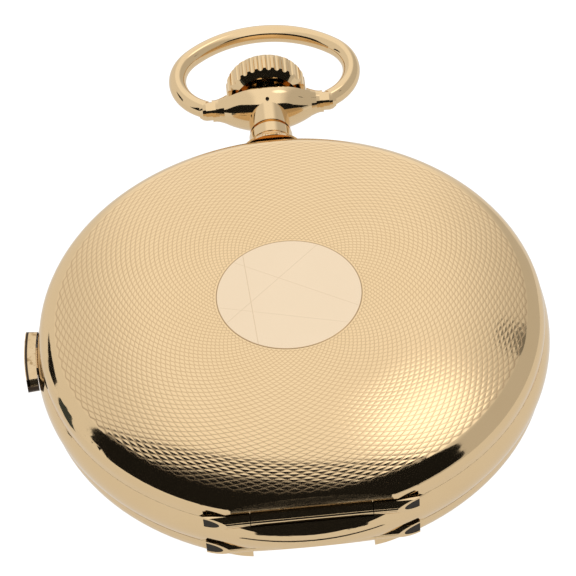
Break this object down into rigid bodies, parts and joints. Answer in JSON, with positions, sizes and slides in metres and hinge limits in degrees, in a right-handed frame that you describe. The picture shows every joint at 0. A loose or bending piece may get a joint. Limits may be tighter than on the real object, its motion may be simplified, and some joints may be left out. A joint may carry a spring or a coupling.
{
  "type": "repeater pocket watch",
  "caption": "Hunter-cased repeater pocket watch with sprung covers, engine-turned back, fluted crown, bow and a repeater slide on the band.",
  "frame": {"origin": "on the axis of the case, at the flat rest disc of the front cover", "axes": "+Z out of the back cover, +Y to the pendant at 3 o'clock, -X to 6 o'clock"},
  "size_m": [0.0575, 0.079, 0.0141],
  "materials": {
    "gold_engraved": "engine-turned yellow gold with a polished border",
    "gold_polished": "polished yellow gold",
    "gold_inner": "satin gilt",
    "hinge_steel": "darkened steel",
    "steel": "straight-grained steel",
    "blued_steel": "heat-blued steel",
    "wheel_brass": "gilt brass",
    "nickel": "striped nickel silver",
    "enamel": "white enamel",
    "crystal_glass": "clear",
    "ruby": "polished jewel"
  },
  "bodies": {
    "case": {"case_band": "gold_polished", "back_hinge_pin": "hinge_steel", "front_hinge_pin": "hinge_steel", "cuvette_pin": "hinge_steel", "bezel": "gold_polished", "crystal": "crystal_glass", "pendant_collar": "gold_polished", "pendant_head": "gold_polished", "pendant_pin": "hinge_steel", "main_plate": "nickel", "barrel_bridge": "nickel", "train_bridge": "nickel", "pallet_bridge": "nickel", "balance_cock": "nickel", "bridge_screws": "blued_steel", "case_screws": "steel", "jewels": "ruby", "dial": "enamel", "hairspring": "blued_steel", "hour_gong": "blued_steel", "quarter_gong": "blued_steel", "gong_block": "steel", "lid_spring": "steel", "lock_spring": "steel"},
    "back_lid": {"back_cover": "gold_engraved"},
    "front_lid": {"front_cover": "gold_engraved"},
    "dust_lid": {"cuvette": "gold_inner"},
    "bow_ring": {"bow": "gold_polished"},
    "stem_carrier": {"stem_collar": "steel"},
    "crown_and_stem": {"crown": "gold_polished", "winding_stem": "steel"},
    "winding_pinion_body": {"winding_pinion": "steel"},
    "crown_wheel_body": {"crown_wheel": "steel"},
    "ratchet_body": {"ratchet_wheel": "steel"},
    "click_body": {"click": "steel"},
    "slide_body": {"repeater_slide": "gold_polished"},
    "strike_barrel_body": {"strike_barrel": "wheel_brass"},
    "governor_body": {"governor": "wheel_brass"},
    "hour_rack_body": {"hour_rack": "steel"},
    "hour_hammer_body": {"hour_hammer": "steel"},
    "quarter_hammer_body": {"quarter_hammer": "steel"},
    "seconds_body": {"fourth_wheel": "wheel_brass", "seconds_hand": "blued_steel"},
    "minutes_body": {"center_wheel": "wheel_brass", "cannon_pinion": "steel", "minute_hand": "blued_steel"},
    "barrel_body": {"mainspring_barrel": "wheel_brass"},
    "third_body": {"third_wheel": "wheel_brass"},
    "escape_body": {"escape_wheel": "wheel_brass"},
    "minute_wheel_body": {"minute_wheel": "wheel_brass"},
    "hours_body": {"hour_wheel": "wheel_brass", "hour_hand": "blued_steel"},
    "snail_body": {"hour_snail": "steel"},
    "pallet_body": {"pallet_fork": "steel"},
    "balance_body": {"balance_wheel": "wheel_brass"}
  },
  "joints": [
    {"name": "back_cover_hinge", "type": "hinge", "parent": "case", "child": "back_lid", "pos_m": [0, -0.0259, 0.0091], "axis": [1, 0, 0], "range_deg": [0, 100]},
    {"name": "front_cover_hinge", "type": "hinge", "parent": "case", "child": "front_lid", "pos_m": [0, -0.0259, 0.005], "axis": [-1, 0, 0], "range_deg": [0, 100]},
    {"name": "cuvette_hinge", "type": "hinge", "parent": "case", "child": "dust_lid", "pos_m": [0, -0.0239, 0.00945], "axis": [1, 0, 0], "range_deg": [0, 70]},
    {"name": "bow_swing", "type": "hinge", "parent": "case", "child": "bow_ring", "pos_m": [0, 0.037, 0.00705], "axis": [1, 0, 0], "range_deg": [-80, 80]},
    {"name": "crown_pull", "type": "slide", "parent": "case", "child": "stem_carrier", "axis": [0, 1, 0], "range_m": [-0.0005, 0.001]},
    {"name": "crown_turn", "type": "hinge", "parent": "stem_carrier", "child": "crown_and_stem", "pos_m": [0, 0.04, 0.00705], "axis": [0, 1, 0], "continuous": true},
    {"name": "winding_pinion_turn", "type": "hinge", "parent": "case", "child": "winding_pinion_body", "pos_m": [0, 0.0174, 0.00705], "axis": [0, 1, 0], "continuous": true},
    {"name": "crown_wheel_turn", "type": "hinge", "parent": "case", "child": "crown_wheel_body", "pos_m": [0, 0.0142, 0.009], "axis": [0, 0, 1], "continuous": true},
    {"name": "ratchet_turn", "type": "hinge", "parent": "case", "child": "ratchet_body", "pos_m": [0.00831, 0.0048, 0.01], "axis": [0, 0, 1], "continuous": true},
    {"name": "click_lift", "type": "hinge", "parent": "case", "child": "click_body", "pos_m": [0.01248, -0.00304, 0.01], "axis": [0, 0, -1], "range_deg": [0, 7], "stiffness_Nm_per_rad": 0.0000002, "springref_deg": -57.3},
    {"name": "slide_travel", "type": "hinge", "parent": "case", "child": "slide_body", "pos_m": [0, 0, 0.00705], "axis": [0, 0, -1], "range_deg": [0, 22], "stiffness_Nm_per_rad": 0.001, "springref_deg": -22.92},
    {"name": "strike_barrel_turn", "type": "hinge", "parent": "case", "child": "strike_barrel_body", "pos_m": [-0.01472, 0.0085, 0.0071], "axis": [0, 0, -1], "range_deg": [0, 95]},
    {"name": "governor_turn", "type": "hinge", "parent": "case", "child": "governor_body", "pos_m": [-0.00968, 0.01228, 0.0071], "axis": [0, 0, 1], "range_deg": [0, 500]},
    {"name": "hour_rack_swing", "type": "hinge", "parent": "case", "child": "hour_rack_body", "pos_m": [-0.0095, -0.0155, 0.0056], "axis": [0, 0, 1], "range_deg": [0, 8.5]},
    {"name": "hour_hammer_swing", "type": "hinge", "parent": "case", "child": "hour_hammer_body", "pos_m": [0.0136, -0.0132, 0.008], "axis": [0, 0, -1], "range_deg": [0, 10], "stiffness_Nm_per_rad": 0.000005, "springref_deg": -17.19},
    {"name": "quarter_hammer_swing", "type": "hinge", "parent": "case", "child": "quarter_hammer_body", "pos_m": [0.0162, -0.0096, 0.0086], "axis": [0, 0, -1], "range_deg": [0, 10], "stiffness_Nm_per_rad": 0.000005, "springref_deg": -17.19},
    {"name": "seconds_turn", "type": "hinge", "parent": "case", "child": "seconds_body", "pos_m": [-0.0115, 0, 0.008], "axis": [0, 0, 1], "continuous": true},
    {"name": "minutes_turn", "type": "hinge", "parent": "case", "child": "minutes_body", "pos_m": [0, 0, 0.008], "axis": [0, 0, 1], "continuous": true},
    {"name": "barrel_turn", "type": "hinge", "parent": "case", "child": "barrel_body", "pos_m": [0.00831, 0.0048, 0.008], "axis": [0, 0, 1], "continuous": true},
    {"name": "third_turn", "type": "hinge", "parent": "case", "child": "third_body", "pos_m": [-0.00624, -0.0036, 0.008], "axis": [0, 0, 1], "continuous": true},
    {"name": "escape_turn", "type": "hinge", "parent": "case", "child": "escape_body", "pos_m": [-0.0122, -0.00501, 0.008], "axis": [0, 0, 1], "continuous": true},
    {"name": "minute_wheel_turn", "type": "hinge", "parent": "case", "child": "minute_wheel_body", "pos_m": [0.0018, 0.00312, 0.008], "axis": [0, 0, 1], "continuous": true},
    {"name": "hours_turn", "type": "hinge", "parent": "case", "child": "hours_body", "pos_m": [0, 0, 0.008], "axis": [0, 0, 1], "continuous": true},
    {"name": "snail_turn", "type": "hinge", "parent": "case", "child": "snail_body", "pos_m": [0.00411, -0.0049, 0.008], "axis": [0, 0, 1], "continuous": true},
    {"name": "pallet_rock", "type": "hinge", "parent": "case", "child": "pallet_body", "pos_m": [-0.0107, -0.00784, 0.0089], "axis": [0, 0, 1], "range_deg": [-3, 3]},
    {"name": "balance_swing", "type": "hinge", "parent": "case", "child": "balance_body", "pos_m": [-0.00873, -0.01154, 0.0099], "axis": [0, 0, 1], "range_deg": [-270, 270], "stiffness_Nm_per_rad": 0.000001}
  ],
  "couplings": [
    {"joint": "cuvette_hinge", "follows": "back_cover_hinge", "ratio": 0.7},
    {"joint": "winding_pinion_turn", "follows": "crown_turn", "ratio": 1},
    {"joint": "crown_wheel_turn", "follows": "crown_turn", "ratio": -0.5},
    {"joint": "ratchet_turn", "follows": "crown_turn", "ratio": 0.33333},
    {"joint": "strike_barrel_turn", "follows": "slide_travel", "ratio": 4.2075},
    {"joint": "governor_turn", "follows": "slide_travel", "ratio": 22.3},
    {"joint": "hour_rack_swing", "follows": "slide_travel", "ratio": 0.36},
    {"joint": "minutes_turn", "follows": "seconds_turn", "ratio": 0.016667},
    {"joint": "barrel_turn", "follows": "seconds_turn", "ratio": -0.0025},
    {"joint": "third_turn", "follows": "seconds_turn", "ratio": -0.13333},
    {"joint": "escape_turn", "follows": "seconds_turn", "ratio": -10},
    {"joint": "minute_wheel_turn", "follows": "seconds_turn", "ratio": -0.0055556},
    {"joint": "hours_turn", "follows": "seconds_turn", "ratio": 0.0013889},
    {"joint": "snail_turn", "follows": "seconds_turn", "ratio": -0.0013889}
  ]
}
